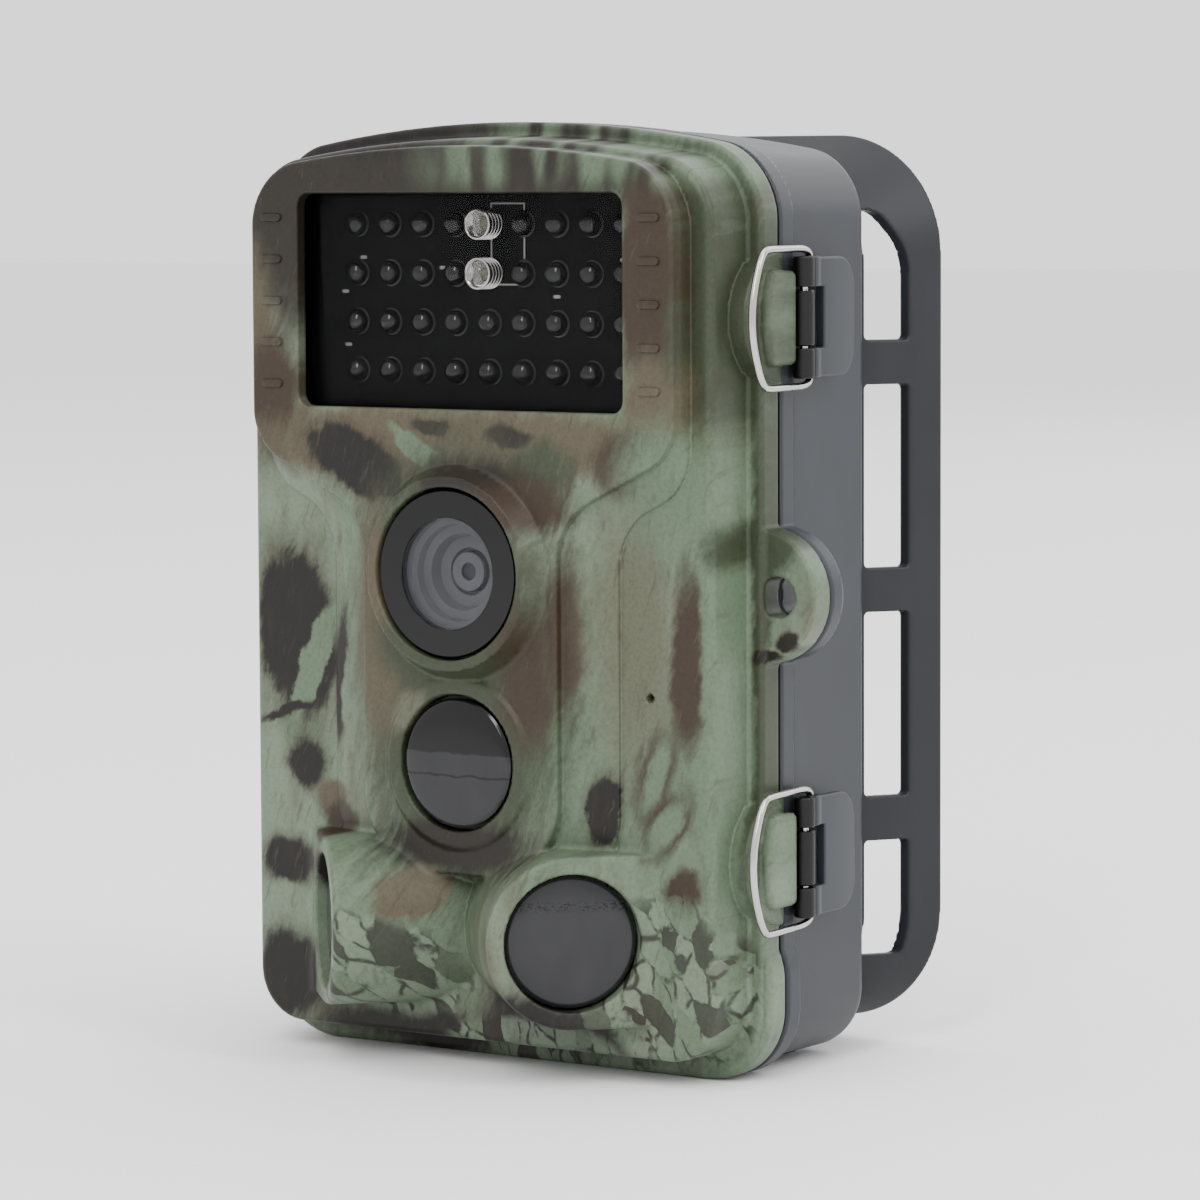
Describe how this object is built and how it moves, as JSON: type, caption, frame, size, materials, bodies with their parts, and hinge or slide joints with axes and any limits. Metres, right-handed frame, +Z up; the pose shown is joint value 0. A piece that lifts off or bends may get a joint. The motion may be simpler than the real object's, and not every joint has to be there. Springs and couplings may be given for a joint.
{
  "type": "trail camera",
  "caption": "Clamshell trail camera with camo front, lamp window, lens, three motion sensors, side draw latches, inner controls and battery bay, and a rear strap bracket.",
  "frame": {"origin": "centre of the flat bottom of the rear shell's rim, where the camera stands", "axes": "+Z up, +X to the right seen from in front (the latch side), +Y to the back (the strap bracket)"},
  "size_m": [0.104, 0.0714, 0.142],
  "materials": {
    "camo_plastic": "printed bark and leaf camouflage, semi-matte",
    "grey_plastic": "satin moulded",
    "dark_plastic": "fine spark texture",
    "black_plastic": "satin",
    "dark_glass": "glossy tinted pane",
    "lens_glass": "coated glass",
    "screen_glass": "glossy",
    "lamp_epoxy": "glossy dark epoxy",
    "clear_epoxy": "clear epoxy",
    "fresnel_plastic": "smooth dark polyethylene",
    "steel": "polished stainless",
    "brass": "turned",
    "circuit_board": "solder mask",
    "rubber": "matte",
    "cell_sleeve": "plain printed sleeve"
  },
  "bodies": {
    "rear_case": {"rear_shell": "grey_plastic", "strap_bracket": "dark_plastic", "case_gasket": "rubber", "tripod_insert": "brass", "dc_jack": "black_plastic", "battery_tray": "grey_plastic", "battery_cell_1": "cell_sleeve", "battery_cell_2": "cell_sleeve", "battery_cell_3": "cell_sleeve", "battery_cell_4": "cell_sleeve", "battery_cell_5": "cell_sleeve", "battery_cell_6": "cell_sleeve", "battery_cell_7": "cell_sleeve", "battery_cell_8": "cell_sleeve", "contact_strip_1": "steel", "contact_strip_2": "steel", "contact_strip_3": "steel", "contact_strip_4": "steel", "hinge_pin_upper": "steel", "hinge_pin_lower": "steel", "upper_latch_pin": "steel", "lower_latch_pin": "steel"},
    "front_case": {"front_shell": "camo_plastic", "ir_window": "dark_glass", "ir_led_array": "lamp_epoxy", "white_led_upper": "clear_epoxy", "white_led_lower": "clear_epoxy", "led_board": "circuit_board", "lens_window": "lens_glass", "lens_barrel": "black_plastic", "front_lens_element": "lens_glass", "lens_mount": "black_plastic", "image_sensor": "screen_glass", "pir_lens_center": "fresnel_plastic", "pir_lens_left": "fresnel_plastic", "pir_lens_right": "fresnel_plastic", "pir_sensor_center": "steel", "pir_sensor_left": "steel", "pir_sensor_right": "steel", "main_board": "circuit_board", "inner_panel": "grey_plastic", "display_screen": "screen_glass", "speaker": "black_plastic", "panel_screw_1": "steel", "panel_screw_2": "steel", "panel_screw_3": "steel", "panel_screw_4": "steel"},
    "upper_lever": {"upper_latch_lever": "grey_plastic"},
    "upper_bail": {"upper_latch_bail": "steel"},
    "lower_lever": {"lower_latch_lever": "grey_plastic"},
    "lower_bail": {"lower_latch_bail": "steel"},
    "key_up": {"button_up": "rubber"},
    "key_down": {"button_down": "rubber"},
    "key_left": {"button_left": "rubber"},
    "key_right": {"button_right": "rubber"},
    "key_ok": {"button_ok": "rubber"},
    "key_menu": {"button_menu": "rubber"},
    "mode_switch": {"power_switch": "black_plastic"},
    "card": {"memory_card": "black_plastic"},
    "flap": {"port_flap": "rubber"}
  },
  "joints": [
    {"name": "case_hinge", "type": "hinge", "parent": "rear_case", "child": "front_case", "pos_m": [-0.0478, -0.00205, 0], "axis": [0, 0, -1], "range_deg": [0, 140]},
    {"name": "upper_lever_pivot", "type": "hinge", "parent": "rear_case", "child": "upper_lever", "pos_m": [0.0471, 0.0013, 0.113], "axis": [0, 0, -1], "range_deg": [0, 140]},
    {"name": "upper_bail_pivot", "type": "hinge", "parent": "upper_lever", "child": "upper_bail", "pos_m": [0.0465, 0.0038, 0.113], "axis": [0, 0, -1], "range_deg": [-182, 0]},
    {"name": "lower_lever_pivot", "type": "hinge", "parent": "rear_case", "child": "lower_lever", "pos_m": [0.0471, 0.0013, 0.0332], "axis": [0, 0, -1], "range_deg": [0, 140]},
    {"name": "lower_bail_pivot", "type": "hinge", "parent": "lower_lever", "child": "lower_bail", "pos_m": [0.0465, 0.0038, 0.0332], "axis": [0, 0, -1], "range_deg": [-182, 0]},
    {"name": "key_up_press", "type": "slide", "parent": "front_case", "child": "key_up", "axis": [0, -1, 0], "range_m": [0, 0.0004], "stiffness_N_per_m": 300},
    {"name": "key_down_press", "type": "slide", "parent": "front_case", "child": "key_down", "axis": [0, -1, 0], "range_m": [0, 0.0004], "stiffness_N_per_m": 300},
    {"name": "key_left_press", "type": "slide", "parent": "front_case", "child": "key_left", "axis": [0, -1, 0], "range_m": [0, 0.0004], "stiffness_N_per_m": 300},
    {"name": "key_right_press", "type": "slide", "parent": "front_case", "child": "key_right", "axis": [0, -1, 0], "range_m": [0, 0.0004], "stiffness_N_per_m": 300},
    {"name": "key_ok_press", "type": "slide", "parent": "front_case", "child": "key_ok", "axis": [0, -1, 0], "range_m": [0, 0.0004], "stiffness_N_per_m": 300},
    {"name": "key_menu_press", "type": "slide", "parent": "front_case", "child": "key_menu", "axis": [0, -1, 0], "range_m": [0, 0.0004], "stiffness_N_per_m": 300},
    {"name": "mode_switch_slide", "type": "slide", "parent": "front_case", "child": "mode_switch", "axis": [0, 0, 1], "range_m": [0, 0.006]},
    {"name": "card_push", "type": "slide", "parent": "front_case", "child": "card", "axis": [0, 0, 1], "range_m": [0, 0.0003], "stiffness_N_per_m": 300},
    {"name": "flap_hinge", "type": "hinge", "parent": "rear_case", "child": "flap", "pos_m": [0.025, 0.02, 0.0007], "axis": [1, 0, 0], "range_deg": [0, 100]}
  ],
  "couplings": [
    {"joint": "upper_bail_pivot", "follows": "upper_lever_pivot", "ratio": -1.3},
    {"joint": "lower_bail_pivot", "follows": "lower_lever_pivot", "ratio": -1.3}
  ]
}
